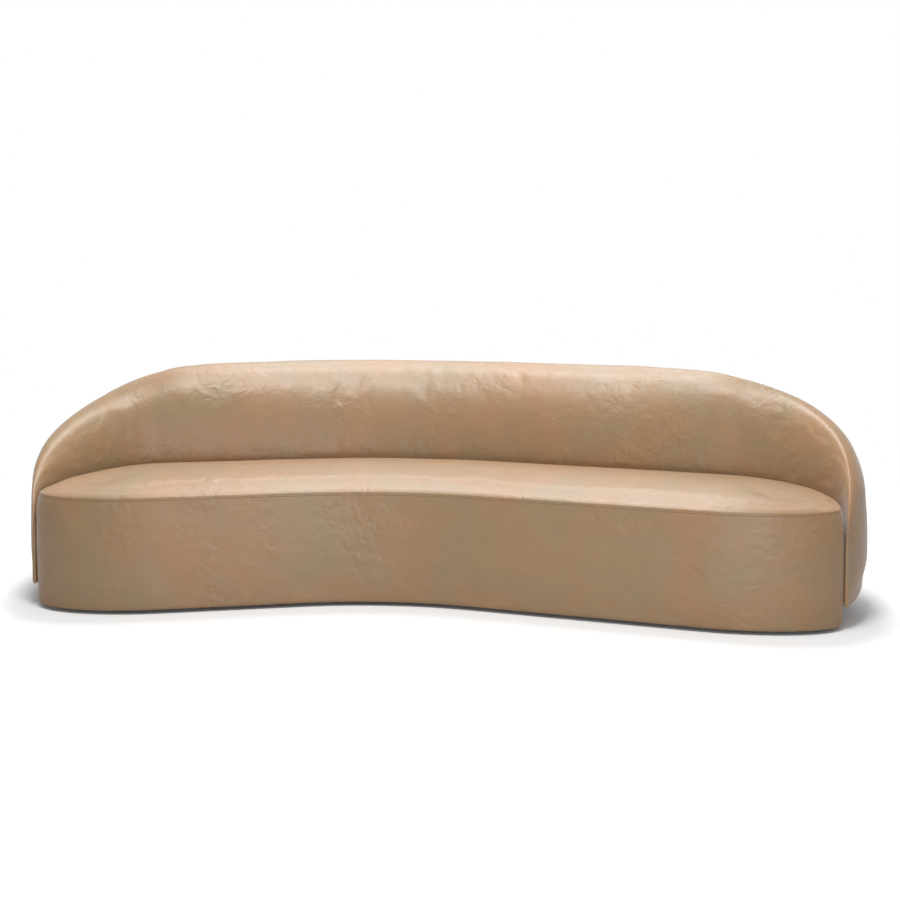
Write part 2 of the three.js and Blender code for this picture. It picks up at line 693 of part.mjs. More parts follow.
// Back panels: bent plywood behind the seat and up to the top rail, and a thinner one on the outside
const innerPanel = stripOver(framePlaces, (place) => (
  layerStrip(place, 'panel', 'panelBack', 0, atRidge, [0, gap])
));
addPiece('back_outer_panel', stripOver(framePlaces, (place) => (
  layerStrip(place, 'panel', 'panelBack', atRidgeEnd, atBottom - 1, [gap, 0])
)), 'plywood');

// Back top rail: a rounded rail under the ridge, flat underneath where it sits on the ribs
const railLine = (place) => sectionAt(place, 'panel').slice(atRidge, atRidgeEnd + 1);
const topRail = shell(framePlaces, railLine);
const railUnderside = { outlines: topRail.outlines, turnFrom: atRidgeEnd - atRidge };
addPiece('back_top_rail', skinOver(topRail.rows, railUnderside), 'hardwood');

function crossing(a, b, c, d) {
  const one = b.clone().sub(a);
  const two = d.clone().sub(c);
  return a.clone().addScaledVector(one, c.clone().sub(a).cross(two) / one.cross(two));
}

// The room between the panels and under the top rail
function coreSection(place) {
  const core = sectionAt(place, 'core');
  const rail = railLine(place);
  const under = insetSection([rail[0], rail[rail.length - 1]], 2 * gap, false);
  return [
    new THREE.Vector2(core[1].x, core[atBottom].y), ...core.slice(1, atRidge),
    crossing(core[atRidge - 1], core[atRidge], ...under),
    crossing(core[atRidgeEnd + 1], core[atRidgeEnd], ...under),
    ...core.slice(atRidgeEnd + 1, atBottom + 1),
  ];
}
const coreShell = shell(framePlaces, coreSection);
const core = skinOver(coreShell.rows, { outlines: coreShell.outlines });

// Where the room's front and rear walls stand at a height
function coreSpan(place, height) {
  const section = coreSection(place);
  const found = [];
  section.forEach((point, i) => {
    const next = section[(i + 1) % section.length];
    if ((point.y - height) * (next.y - height) < 0) {
      found.push(THREE.MathUtils.mapLinear(height, point.y, next.y, point.x, next.x));
    }
  });
  return found.sort((a, b) => a - b);
}

const slabBetween = (floor, top) => {
  const length = 2 * (spineLength + plan.left.reach + plan.right.reach);
  return new THREE.BoxGeometry(length, length, top - floor).translate(0, 0, (top + floor) / 2);
};

// The middle rail's height is a share of the way up to the top rail where that comes lowest.
const topRailLow = Math.min(...topRail.outlines.flat().map(({ y }) => y));
const railFloor = THREE.MathUtils.lerp(back.bottom, topRailLow, middleRailShare);
const railTop = railFloor + plywood;

// Back base plate: a flat plywood plate across the bottom, which the ribs stand on
const plateFloor = back.bottom + underLeather;
const plateTop = plateFloor + plywood;
addPiece('back_base_plate', common(slabBetween(plateFloor, plateTop), core), 'plywood');

const ribFloor = plateTop + gap;

// A slab across the frame at one of its ends, from the end inward. A cutting slab also starts a way beyond
// the end.
function endSlab({ station: { edge, at } }, inward, thickness, beyond) {
  const outward = at(back.swell).sub(edge);
  return new THREE.BoxGeometry(thickness + beyond, 2 * outward.length(), 2 * back.ridgeHeight)
    .translate(inward * (thickness - beyond) / 2, outward.length() / 2, ribFloor + back.ridgeHeight)
    .rotateZ(outward.angle() - Math.PI / 2).translate(edge.x, edge.y, 0);
}
const endSlabs = (thickness, beyond = 0) => [
  endSlab(framePlaces[0], 1, thickness, beyond), endSlab(framePlaces.at(-1), -1, thickness, beyond),
];

// Back middle rail: a plywood strip along the outer panel, let into the rear of the ribs. It is first made
// deeper, then cut to the room.
function roughRail(margin) {
  const heights = [railFloor - margin, railTop + margin];
  const { rows, outlines } = shell(framePlaces, (place) => {
    const outsides = heights.map((height) => coreSpan(place, height)[1]);
    const inside = Math.min(...outsides) - backFrame.railWidth - margin;
    return box2(-inside, -Math.max(...outsides) - backFrame.railWidth, ...heights);
  });
  return skinOver(rows, { outlines });
}
const fittedRail = common(roughRail(0), core);
addPiece('back_middle_rail', cutFrom(fittedRail, endSlabs(plywood + gap, plywood)), 'plywood');

// Back ribs: plywood cross walls behind the seat ribs, and one at each end of the frame
const backRibs = endSlabs(plywood).map((slab) => common(slab, core));
const midPlace = framePlaces[Math.floor(framePlaces.length / 2)];
const windowTop = THREE.MathUtils.lerp(railTop, back.ridgeHeight, windowTopShare);
const ribWindows = [[ribFloor, railFloor], [railTop, windowTop]].map(([floor, top]) => {
  const low = floor + backFrame.windowEdge;
  const high = top - backFrame.windowEdge;
  const spans = [low, high].map((height) => coreSpan(midPlace, height));
  const inside = Math.max(...spans.map(([near]) => near)) + backFrame.windowEdge;
  const outside = Math.min(...spans.map(([, far]) => far)) - backFrame.windowEdge;
  const hole = roundedWindow(outside - inside, high - low, backFrame.windowRadius, 2 * plywood);
  return hole.rotateZ(Math.PI / 2).translate(0, plan.halfDepth + (outside + inside) / 2, (high + low) / 2);
});
for (let i = 1; i < seatRibs.count - 1; i += 1) {
  const slab = new THREE.BoxGeometry(plywood, 2 * back.swell, 2 * back.ridgeHeight)
    .translate(0, plan.halfDepth + back.swell, ribFloor + back.ridgeHeight);
  const wall = common(setAcross(slab, i * ribBay, 0), core);
  const windows = ribWindows.map((hole) => setAcross(hole.clone(), i * ribBay, 0));
  backRibs.splice(i, 0, cutFrom(wall, [...windows, roughRail(gap)]));
}
backRibs.forEach((rib, i) => addPiece(`back_rib_${i + 1}`, rib, 'plywood'));

// Blocks and bolts: hardwood blocks behind the seat skin, and bolts from them into the back's inner panel
const bolted = { front: -underSkin - block.depth, rear: seatClear + underLeather + backFoam.low + gap };
bolted.nut = bolted.rear + backPanel.inner + gap;
const boltProfile = [
  [0, bolted.front - gap - bolt.headHeight], [bolt.headRadius, bolted.front - gap - bolt.headHeight],
  [bolt.headRadius, bolted.front - gap], [bolt.radius, bolted.front - gap],
  [bolt.radius, bolted.nut], [bolt.nutRadius, bolted.nut], [bolt.nutRadius, bolted.nut + bolt.nutHeight],
  [bolt.radius, bolted.nut + bolt.nutHeight],
  [bolt.radius, bolted.nut + bolt.nutHeight + bolt.tail], [0, bolted.nut + bolt.nutHeight + bolt.tail],
].map(([x, y]) => new THREE.Vector2(x, y));
const boltWays = boltBays.map((bay) => (bay + 1 / 2) * ribBay);
const drillRadius = bolt.radius + holeClearance;
const drills = boltWays.map((way) => {
  const hole = new THREE.CylinderGeometry(drillRadius, drillRadius, 2 * plan.halfDepth, roundSteps);
  return setAcross(hole.translate(0, plan.halfDepth, 0), way, bolt.height);
});
boltWays.forEach((way, i) => {
  const wood = new THREE.BoxGeometry(block.width, block.depth + underSkin, block.height)
    .translate(0, plan.halfDepth - (block.depth + underSkin) / 2, 0);
  const fitted = common(setAcross(wood, way, bolt.height), seatRoom);
  addPiece(`block_${i + 1}`, cutFrom(fitted, [drills[i]]), 'hardwood');
  const turned = new THREE.LatheGeometry(boltProfile, roundSteps).translate(0, plan.halfDepth, 0);
  addPiece(`bolt_${i + 1}`, setAcross(turned, way, bolt.height), 'steel');
});

// The pieces that the bolts pass through
for (const [name, geometry, finish] of [
  ['seat_border_cover', borderCover, 'leather'], ['foam_band', foamBand, 'foam'],
  ['seat_skin', seatSkin, 'plywood'], ['back_inner_cover', innerCover, 'leather'],
  ['back_inner_foam', innerFoam, 'foam'], ['back_inner_panel', innerPanel, 'plywood'],
]) {
  addPiece(name, cutFrom(geometry, drills), finish);
}

const extent = new THREE.Box3().setFromObject(sofa);
const middle = extent.getCenter(new THREE.Vector3());
sofa.position.set(-middle.x, -middle.y, -extent.min.z);
export default sofa;
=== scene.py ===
import math

import bmesh
import bpy
import numpy as np
from mathutils import Color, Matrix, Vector, noise


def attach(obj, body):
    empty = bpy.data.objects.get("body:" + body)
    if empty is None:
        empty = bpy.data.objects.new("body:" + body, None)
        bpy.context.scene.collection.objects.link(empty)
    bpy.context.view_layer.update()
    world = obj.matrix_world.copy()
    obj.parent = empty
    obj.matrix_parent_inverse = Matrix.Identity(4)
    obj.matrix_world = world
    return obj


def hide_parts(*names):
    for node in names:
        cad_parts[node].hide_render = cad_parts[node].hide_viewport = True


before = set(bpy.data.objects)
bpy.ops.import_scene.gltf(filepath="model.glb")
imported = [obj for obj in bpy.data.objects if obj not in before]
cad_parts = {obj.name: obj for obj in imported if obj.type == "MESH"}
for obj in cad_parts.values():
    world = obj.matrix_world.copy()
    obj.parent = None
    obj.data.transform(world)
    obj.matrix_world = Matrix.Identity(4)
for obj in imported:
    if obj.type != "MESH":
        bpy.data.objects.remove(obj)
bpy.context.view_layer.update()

scene = bpy.context.scene

# The photographer's camera
# It stands about five metres in front of the sofa and 0.6 m above its ridge, with a 56 mm lens, and looks
# slightly down and to the left.
tilt_down, turn_left = 9.687, 4.2487
camera_data = bpy.data.cameras.new("camera")
camera_data.lens = 56
camera_data.sensor_width = 36
camera = bpy.data.objects.new("camera", camera_data)
camera.location = (0.4052, -5.1905, 1.4104)
camera.rotation_euler = (math.radians(90 - tilt_down), 0, math.radians(turn_left))
scene.collection.objects.link(camera)
scene.camera = camera

# Seat top cover
# One panel of smooth tan pull-up leather, drawn tight over a crowned block of foam and sewn to the border
# all round its edge. Its outline is a straight wing, a bend and a longer straight wing, with oval ends.
# Every size is in millimetres. A tip is the far end of an oval.
half_depth, front_radius = 303.3, 1263.5
bend = math.radians(14.04)
spine_radius = front_radius + half_depth
bend_length = 2 * bend * spine_radius
left_end = {"wing": 487.5, "reach": 439.5, "forward": 95, "front_power": 2.03, "rear_power": 1.36}
right_end = {"wing": 832, "reach": 444.5, "forward": 115, "front_power": 1.78, "rear_power": 1.9}
spine_length = left_end["wing"] + bend_length + right_end["wing"]
bend_middle = Vector((-188.523, -18.691, 0))
seam_height = 415
crown_rise, crown_power, crown_tip_share = 44, 3.1, 0.53
tip_pull, pull_depth, pull_power = 12, 100, 3
tip_lean, left_flare, tip_power = 13, 9, 5


def spine_place(way):
    """The point and the direction of the seat's middle line at a distance from the left oval's centre."""
    past_left = way - left_end["wing"]
    turn = min(max(past_left / spine_radius - bend, -bend), bend)
    along = np.array([math.cos(turn), -math.sin(turn)])
    point = spine_radius * np.array([math.sin(turn), math.cos(turn) - 1])
    return point + along * (min(past_left, 0) + max(past_left - bend_length, 0)), along


# A station is a place on the seat's outline: its edge, its outward direction, and how near a tip it is,
# from 0 to 1.
def wing_station(way, side):
    """A station on the wings and the bend, on the rear side, 1, or the front side, -1."""
    point, along = spine_place(way)
    outward = side * np.array([-along[1], along[0]])
    return point + half_depth * outward, outward, 0.0


def end_station(end, side, tip):
    """A station on an oval end. The end's powers say how square its front and rear quarters are."""
    along_power, across_power = (2, end["rear_power"]) if side > 0 else (end["front_power"],) * 2
    across = (1 - tip ** along_power) ** (1 / across_power)
    sign, way = (-1, 0) if end is left_end else (1, spine_length)
    point, along = spine_place(way)
    rearward = np.array([-along[1], along[0]])
    half_width = half_depth + side * end["forward"]
    edge = (point + sign * tip * end["reach"] * along
            + (side * half_width * across - end["forward"]) * rearward)
    spine = point + sign * tip * (end["reach"] - half_depth) * along - end["forward"] * tip * rearward
    return edge, (edge - spine) / half_depth, tip


def long_side(side, spacing):
    """The stations of the rear side, 1, or the front side, -1, from the left tip to the right tip."""
    quarter_oval = 560
    turns = np.linspace(0, math.pi / 2, round(quarter_oval / spacing) + 1)[:-1]
    ways = np.linspace(0, spine_length, round(spine_length / spacing) + 1)
    return ([end_station(left_end, side, math.cos(turn)) for turn in turns]
            + [wing_station(way, side) for way in ways]
            + [end_station(right_end, side, math.cos(turn)) for turn in turns[::-1]])


def lift(stations, across, height):
    """Points over the stations, one row for each, from distances outside the outline and heights."""
    edges = np.array([edge for edge, outward, tip in stations])
    outwards = np.array([outward for edge, outward, tip in stations])
    across, height = np.broadcast_arrays(across, height)
    plan = edges[:, None] + outwards[:, None] * across[:, :, None]
    return np.dstack([plan, height])


def drawn_in(stations, across, height, pull=tip_pull):
    """Near a tip the sofa leans in as it rises, and the seat's top edge is drawn in, most at the seam. The
    left end stands out a little at every height."""
    tips = np.array([[tip] for edge, outward, tip in stations])
    flare = np.array([[left_flare if edge[0] < 0 else 0] for edge, outward, tip in stations])
    near_seam = np.clip((height - seam_height + pull_depth) / pull_depth, 0, 1)
    shift = flare - tip_lean * height / seam_height - pull * near_seam ** pull_power
    return across + shift * tips ** tip_power * np.clip(1 + across / half_depth, 0, 1)


def skin(name, rows, ring=False, kept=None):
    """A piece of quads over rows of points in millimetres, or over the kept cells of them. A ring joins its
    last row to its first."""
    same_point = 0.00002
    count, width = rows.shape[:2]
    mesh = bpy.data.meshes.new(name)
    index = np.arange(count * width).reshape(count, width)
    after = np.roll(index, -1, axis=0) if ring else index[1:]
    before = index if ring else index[:-1]
    faces = np.stack([before[:, :-1], before[:, 1:], after[:, 1:], after[:, :-1]], axis=-1)
    faces = faces.reshape(-1, 4) if kept is None else faces[kept]
    mesh.from_pydata((rows.reshape(-1, 3) + np.array(bend_middle)) / 1000, [], faces.tolist())
    welded = bmesh.new()
    welded.from_mesh(mesh)
    bmesh.ops.delete(welded, geom=[v for v in welded.verts if not v.link_faces], context="VERTS")
    bmesh.ops.remove_doubles(welded, verts=welded.verts, dist=same_point)
    bmesh.ops.recalc_face_normals(welded, faces=welded.faces)
    welded.to_mesh(mesh)
    welded.free()
    mesh.polygons.foreach_set("use_smooth", [True] * len(mesh.polygons))
    piece = bpy.data.objects.new(name, mesh)
    scene.collection.objects.link(piece)
    return piece


def run_lengths(points):
    """How far along its row each point lies, the row being the first axis."""
    steps = np.linalg.norm(np.diff(points, axis=0), axis=-1)
    return np.concatenate([np.zeros((1,) + steps.shape[1:]), np.cumsum(steps, axis=0)])


def unevenness(rows, wave, amount, seed):
    """Smooth uneven heights over rows of points: hides are never stretched quite evenly."""
    heights = [amount * noise.noise(Vector(point) / wave + Vector((seed, 0, 0)))
               for point in rows.reshape(-1, 3)]
    return np.array(heights).reshape(rows.shape[:2])


def plumped(piece, most, held_below=0):
    """Lets the foam press a sewn panel out by most millimetres at most, by cloth simulation. It stays held
    along its seams, and everywhere below the height held_below."""
    foam_pressure, looseness, steps = 4, 0.006, 12
    mesh = piece.data
    start = np.array([vertex.co for vertex in mesh.vertices])
    open_edges = bmesh.new()
    open_edges.from_mesh(mesh)
    held = {v.index for edge in open_edges.edges if edge.is_boundary for v in edge.verts}
    held |= {other.index for v in open_edges.verts if v.index in held for edge in v.link_edges
             for other in edge.verts}
    open_edges.free()
    held |= {i for i, point in enumerate(start) if point[2] * 1000 < held_below}
    piece.vertex_groups.new(name="held").add(list(held), 1, "REPLACE")
    cloth = piece.modifiers.new("cloth", "CLOTH")
    cloth.settings.quality = 4
    cloth.settings.use_pressure = True
    cloth.settings.uniform_pressure_force = foam_pressure
    cloth.settings.shrink_min = -looseness
    cloth.settings.tension_stiffness = cloth.settings.compression_stiffness = 120
    cloth.settings.bending_stiffness = 2
    cloth.settings.vertex_group_mass = "held"
    cloth.settings.effector_weights.gravity = 0
    cloth.collision_settings.use_collision = False
    for step in range(1, steps + 1):
        scene.frame_set(step)
    pressed = piece.evaluated_get(bpy.context.evaluated_depsgraph_get())
    moved = np.array([vertex.co for vertex in pressed.data.vertices]) - start
    piece.modifiers.remove(cloth)
    piece.vertex_groups.clear()
    scene.frame_set(1)

    # The foam keeps the leather from going in, and the sewn and stapled edges let it out only so far.
    most = most / 1000
    normals = np.array([vertex.normal for vertex in mesh.vertices])
    outward = np.maximum((moved * normals).sum(axis=1, keepdims=True), 0)
    mesh.vertices.foreach_set("co", (start + normals * most * np.tanh(outward / most)).ravel())
    mesh.update()


def linear(hex_colour):
    """An sRGB hex colour as Blender's linear colour."""
    red, green, blue = (int(hex_colour[i:i + 2], 16) / 255 for i in (0, 2, 4))
    return (*Color((red, green, blue)).from_srgb_to_scene_linear(), 1)


def add_node(material, kind, inputs=None, **settings):
    """Adds a node with its settings. Each input is a value or another node's output."""
    made = material.node_tree.nodes.new("ShaderNode" + kind)
    for name, value in settings.items():
        setattr(made, name, value)
    for name, value in (inputs or {}).items():
        socket = made.inputs[name]
        if isinstance(value, bpy.types.NodeSocket):
            material.node_tree.links.new(value, socket)
        else:
            socket.default_value = value
    return made


def new_material(name):
    """A material with an empty node tree."""
    material = bpy.data.materials.new(name)
    material.use_nodes = True
    material.node_tree.nodes.clear()
    return material


# Pull-up leather: an aniline-dyed hide with a waxed, lightly buffed face. The dye takes unevenly, which
# clouds the tan with warmer and greyer patches. The buffing leaves a short nap that pales at a slant, and
# the wax breaks the shine into crinkles where the hide was pulled. Each pattern's scale is 1000 over its
# size in millimetres. The pores, about 1 mm apart on a real hide, are drawn at 2.2 mm, or they would blur.
leather = new_material("pull_up_leather")
place = add_node(leather, "TexCoord").outputs["Object"]
clouds = add_node(leather, "TexNoise", {
    "Vector": place, "Scale": 1000 / 260, "Detail": 3, "Roughness": 0.5, "Distortion": 0.6})
cloudy = add_node(leather, "MapRange", {"Value": clouds.outputs["Fac"], "From Min": 0.36, "From Max": 0.64})
dye = add_node(leather, "MixRGB", {
    "Fac": cloudy.outputs["Result"], "Color1": linear("92704F"), "Color2": linear("897254")})
blotches = add_node(leather, "TexNoise", {
    "Vector": place, "Scale": 1000 / 60, "Detail": 4, "Roughness": 0.55, "Distortion": 0.4})
blotchy = add_node(leather, "MapRange", {
    "Value": blotches.outputs["Fac"], "From Min": 0.3, "From Max": 0.7, "To Min": 0.965, "To Max": 1.035})
dyed = add_node(leather, "VectorMath", {0: dye.outputs["Color"], "Scale": blotchy.outputs["Result"]},
                operation="SCALE")
drift = add_node(leather, "TexNoise", {"Vector": place, "Scale": 1000 / 90, "Detail": 2})
pushed = add_node(leather, "MixRGB", {"Fac": 0.06, "Color1": place, "Color2": drift.outputs["Color"]})
crinkles = add_node(leather, "TexNoise", {
    "Vector": pushed.outputs["Color"], "Scale": 1000 / 55, "Detail": 2, "Roughness": 0.5})
ridges = add_node(leather, "Math", {0: crinkles.outputs["Fac"], 1: 0.5}, operation="SUBTRACT")
folded = add_node(leather, "Math", {0: ridges.outputs["Value"]}, operation="ABSOLUTE")
pulled = add_node(leather, "TexNoise", {
    "Vector": place, "Scale": 1000 / 190, "Detail": 2, "Roughness": 0.5})
pulled_patches = add_node(leather, "MapRange", {
    "Value": pulled.outputs["Fac"], "From Min": 0.46, "From Max": 0.62, "To Min": 0.15, "To Max": 1})
crinkled = add_node(leather, "Math", {
    0: folded.outputs["Value"], 1: pulled_patches.outputs["Result"]}, operation="MULTIPLY")
shine = add_node(leather, "MapRange", {
    "Value": blotches.outputs["Fac"], "From Min": 0.25, "From Max": 0.75, "To Min": 0.4, "To Max": 0.5})
grain = add_node(leather, "TexVoronoi", {"Vector": place, "Scale": 1000 / 2.2})
grain_bump = add_node(leather, "Bump", {
    "Height": grain.outputs["Distance"], "Strength": 0.2, "Distance": 0.0001})
crinkle_bump = add_node(leather, "Bump", {
    "Height": crinkled.outputs["Value"], "Strength": 1.0, "Distance": 0.006,
    "Normal": grain_bump.outputs["Normal"]})
soft_bump = add_node(leather, "Bump", {
    "Height": blotches.outputs["Fac"], "Strength": 1.0, "Distance": 0.002,
    "Normal": crinkle_bump.outputs["Normal"]})
hide = add_node(leather, "BsdfPrincipled", {
    "Base Color": dyed.outputs["Vector"], "Roughness": shine.outputs["Result"], "IOR": 1.5,
    "Sheen Weight": 0.2, "Sheen Roughness": 0.4, "Normal": soft_bump.outputs["Normal"]})
add_node(leather, "OutputMaterial", {"Surface": hide.outputs["BSDF"]})

# The panel's rows lie closer together towards the seam, where it rolls over the edge.
seat_spacing, crown_rows, row_crowding = 9, 34, 1.9
tuck_depth, tuck_width, calm_edge = 1.1, 2.5, 80
seat_ring = long_side(1, seat_spacing) + long_side(-1, seat_spacing)[-2:0:-1]
ring_tips = np.array([[tip] for edge, outward, tip in seat_ring])
crown_shares = np.linspace(0, 1, crown_rows) ** row_crowding
rise = crown_rise * (1 - (1 - crown_tip_share) * ring_tips ** 2)
crown_height = seam_height + rise * np.sqrt(1 - (1 - crown_shares) ** crown_power)
crown_across = np.broadcast_to(-crown_shares * half_depth, crown_height.shape)
from_seam = run_lengths(np.dstack([crown_across, crown_height]).transpose(1, 0, 2)).T
tuck = tuck_depth * np.exp(-(from_seam / tuck_width) ** 2)
crown = lift(seat_ring, drawn_in(seat_ring, crown_across - tuck, crown_height), crown_height)
crown[:, :, 2] += unevenness(crown, wave=170, amount=2.2, seed=3) * np.clip(from_seam / calm_edge, 0, 1)
seat_top = skin("seat_top", crown, ring=True)

# The panel is drawn smooth where the two sides of its crown meet.
smooth_passes, smooth_share = 60, 0.75
smooth_above = seam_height + smooth_share * crown_rise * crown_tip_share
smoothed = bmesh.new()
smoothed.from_mesh(seat_top.data)
inner_verts = [v for v in smoothed.verts if v.co.z * 1000 > smooth_above]
for i in range(smooth_passes):
    bmesh.ops.smooth_vert(smoothed, verts=inner_verts, factor=0.5, use_axis_x=True, use_axis_y=True,
                          use_axis_z=True)
smoothed.to_mesh(seat_top.data)
smoothed.free()
plumped(seat_top, most=4)
seat_top.data.materials.append(leather)
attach(seat_top, "root")
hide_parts("seat_top_cover", "seat_foam")

# Seat seam welt
# A narrow lip of the same leather, folded double and caught in the seam between the top and the border.
# It stands out of the seam by half a millimetre all round.
welt_middle, welt_half, welt_reach, welt_sunk = 412.5, 2.2, 1.2, 0.7
welt_turns = np.linspace(0, 2 * math.pi, 13)
welt_across = welt_reach * np.cos(welt_turns)[None] - welt_sunk
welt_height = (welt_middle + welt_half * np.sin(welt_turns))[None]
welt_across = drawn_in(seat_ring, welt_across, welt_height)
seat_welt = skin("seat_welt", lift(seat_ring, welt_across, welt_height), ring=True)
seat_welt.data.materials.append(leather)
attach(seat_welt, "root")
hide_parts("seat_seam_welt")

# Seat border
# A band of leather round the seat's side, over thin foam on the plywood skin. Its lower edge is rolled
# under the frame and stapled.
underside, edge_radius, turn_under, side_swell = 13.1, 12, 45, 3
sewing_gap, stitch_pull, stitch_width = 0.3, 0.8, 1.6
calm_top, calm_bottom = 30, 40
border_top = welt_middle - welt_half - sewing_gap
border_low = underside + edge_radius

# The band's rows lie closer together at the seam, where its stitches pull it in.
side_heights = np.concatenate([
    border_top - np.array([0, 0.8, 1.8, 3, 4.5, 6.5, 9, 12]), np.linspace(border_top - 17, border_low, 40)])
swell_share = np.clip((side_heights - border_low) / (seam_height - border_low), 0, 1)
side_across = side_swell * np.sin(math.pi * swell_share)
side_across -= stitch_pull * np.exp(-((border_top - side_heights) / stitch_width) ** 2)
roll = np.linspace(0, math.pi / 2, 9)[1:]
border_across = np.concatenate([side_across, edge_radius * (np.cos(roll) - 1), [-turn_under]])
border_height = np.concatenate([side_heights, border_low - edge_radius * np.sin(roll), [underside]])
border_across = drawn_in(seat_ring, border_across[None], border_height[None])
even_border = lift(seat_ring, border_across, border_height[None])
loose = (np.clip((border_top - border_height) / calm_top, 0, 1)
         * np.clip((border_height - underside) / calm_bottom, 0, 1))
pressed_out = (unevenness(even_border, wave=210, amount=1.6, seed=11)
               + unevenness(even_border, wave=60, amount=0.35, seed=13)) * loose
border = lift(seat_ring, border_across + pressed_out, border_height[None])
seat_border = skin("seat_border", border, ring=True)
seat_border.data.materials.append(leather)
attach(seat_border, "root")
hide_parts("seat_border_cover", "foam_band")

# Back inner cover
# The back is one thick padded shell that follows the seat's rear outline from tip to tip. Its inner cover
# comes up behind the seat, leans back over the ridge to a seam behind it, and wraps the shell's two ends.
ridge_height, ridge_setback, swell_out = 806, 235, 298
rim_height, rim_radius, back_bottom = 340, 8, 78
foot_corner, corner_share, hem_corner = 46, 0.55, 7

# The laws of each half. Height, depth and bulge grow with the distance from the tip: each law has the
# length over which it grows and a power at each of its ends. The softness rounds the ridge's start, the
# wave lets its fall swing by some millimetres, and the shoulder makes the roll over the end squarer.
left_back = {"rise": (767, 1.373, 0.738), "softness": 0.076, "wave": 7,
             "growth": (1400, 1.516, 0.817), "bulge": (824, 2.381, 1.276), "shoulder": 0.18}
right_back = {"rise": (808, 1.523, 0.688), "softness": 0.053, "wave": 0,
              "growth": (1076, 1.027, 1.17), "bulge": (1150, 2.615, 0.995), "shoulder": 0}
seat_gap = 0.5
seat_clear = side_swell + seat_gap
rim_middle = seat_clear + rim_radius

# The section's shape, as shares of its height and of its curves' spans. Its foot is drawn in by
# millimetres.
straight_face, swell_level, swell_climb = 0.45, 0.313, 0.145
face_pull, ridge_pull, shoulder_pull, shoulder_loss = 0.165, 0.8, 0.612, 0.062
swell_pull, foot_pull = 0.651, 0.4
foot_in, foot_in_more = 24.2, 1.8

# The seam behind the ridge lies a third of the way along the shoulder's curve, and the end seams 270 mm
# from the tips. The rows of points lie close together at both.
ridge_seam, seam_zone, curve_speed, end_seam = 0.34, 0.3, 2.2, 270
seam_steps = np.array([-7, -4.5, -2.5, -1, 0, 1, 2.5, 4.5, 7])
face_rows, roll_rows, rows_to_seam, rows_past_seam = 26, 36, 10, 19
swell_rows, corner_rows, underside_rows = 24, 9, 8
seam_column = face_rows + roll_rows + rows_to_seam + len(seam_steps) // 2


def eased(to_tip, law):
    """A share that grows from 0 at a tip to 1 at the law's length, with a power at each of its ends."""
    length, power, roundness = law
    return (1 - (1 - min(to_tip / length, 1)) ** power) ** roundness


def bezier(start, near, far, end, t):
    """Points of a cubic curve between two ends, at the shares t of its run."""
    t = np.array(t)[:, None]
    return start * (1 - t) ** 3 + 3 * near * t * (1 - t) ** 2 + 3 * far * t ** 2 * (1 - t) + end * t ** 3


def back_section(to_tip, laws, squeeze):
    """The shell's outline across one place: up the inner face, over the ridge and down the outside. At the
    rim a squeeze below 1 draws it together towards the rim's middle line."""
    growth, bulge = eased(to_tip, laws["growth"]), eased(to_tip, laws["bulge"])
    length, power, roundness = laws["rise"]
    soft, t = laws["softness"], to_tip / length
    short = math.log1p(math.exp((1 - t) / soft)) / math.log1p(math.exp(1 / soft))
    top = rim_height + (ridge_height - rim_height) * (1 - short ** power) ** roundness
    top += laws["wave"] * math.sin(3 * math.pi * min(t, 1))
    height = top - back_bottom
    lean_start = np.array([seat_clear, back_bottom + straight_face * height])
    crest = np.array([rim_middle + (ridge_setback - rim_radius) * growth, top])
    swell = np.array([rim_middle + rim_radius + (swell_out - 2 * rim_radius) * bulge,
                      back_bottom + (swell_level + swell_climb * growth) * height])
    draw_in = (foot_in + foot_in_more * math.sqrt(bulge)) * math.sqrt(bulge)
    corner = min(foot_corner, corner_share * (swell[0] - draw_in - seat_clear))
    foot = np.array([swell[0] - draw_in, back_bottom + corner])
    squarer = laws["shoulder"] * (1 - growth)
    front_up = lean_start + [0, (face_pull + squarer) * height]
    front_over = crest - [(ridge_pull + squarer) * (crest[0] - seat_clear), 0]
    rear_over = crest + [(shoulder_pull - shoulder_loss * growth) * (swell[0] - crest[0]), 0]
    rear_down = swell + [0, swell_pull * (top - swell[1])]
    # The seam's rows lie at their real distances, or closer where the shoulder is too short for them.
    seam_speed = curve_speed * np.linalg.norm(swell - crest)
    near_seam = ridge_seam + seam_steps * min(1 / seam_speed, seam_zone / seam_steps[-1] * ridge_seam)
    rear_steps = np.concatenate([np.linspace(0, near_seam[0], rows_to_seam + 2)[1:-1], near_seam,
                                 np.linspace(near_seam[-1], 1, rows_past_seam + 1)[1:]])
    drop = [0, foot_pull * np.linalg.norm(foot - swell)]
    turns = np.linspace(0, math.pi / 2, corner_rows + 1)[1:, None]
    round_corner = foot - [corner, 0] + corner * np.hstack([np.cos(turns), -np.sin(turns)])
    hem_centre = np.array([seat_clear + hem_corner, back_bottom + hem_corner])
    points = np.vstack([
        np.linspace([seat_clear, back_bottom + hem_corner], lean_start, face_rows),
        bezier(lean_start, front_up, front_over, crest, np.linspace(0, 1, roll_rows + 1)[1:]),
        bezier(crest, rear_over, rear_down, swell, rear_steps),
        bezier(swell, swell - drop, foot + drop, foot, np.linspace(0, 1, swell_rows + 1)[1:]),
        round_corner,
        np.linspace(round_corner[-1], [hem_centre[0], back_bottom], underside_rows + 1)[1:],
        hem_centre + hem_corner * np.hstack([-np.sin(turns), -np.cos(turns)]),
    ])
    low, high = back_bottom + rim_radius, top - rim_radius
    level = np.clip(points[:, 1], low, high)
    points[:, 0] = rim_middle + (points[:, 0] - rim_middle) * squeeze
    points[:, 1] = level + (points[:, 1] - level) * squeeze
    return points


# Past each tip the shell ends in a rounded rim, whose last row is drawn together into a line.
rim_turns = np.radians([90, 82, 74, 65, 55, 44, 32, 20, 9])


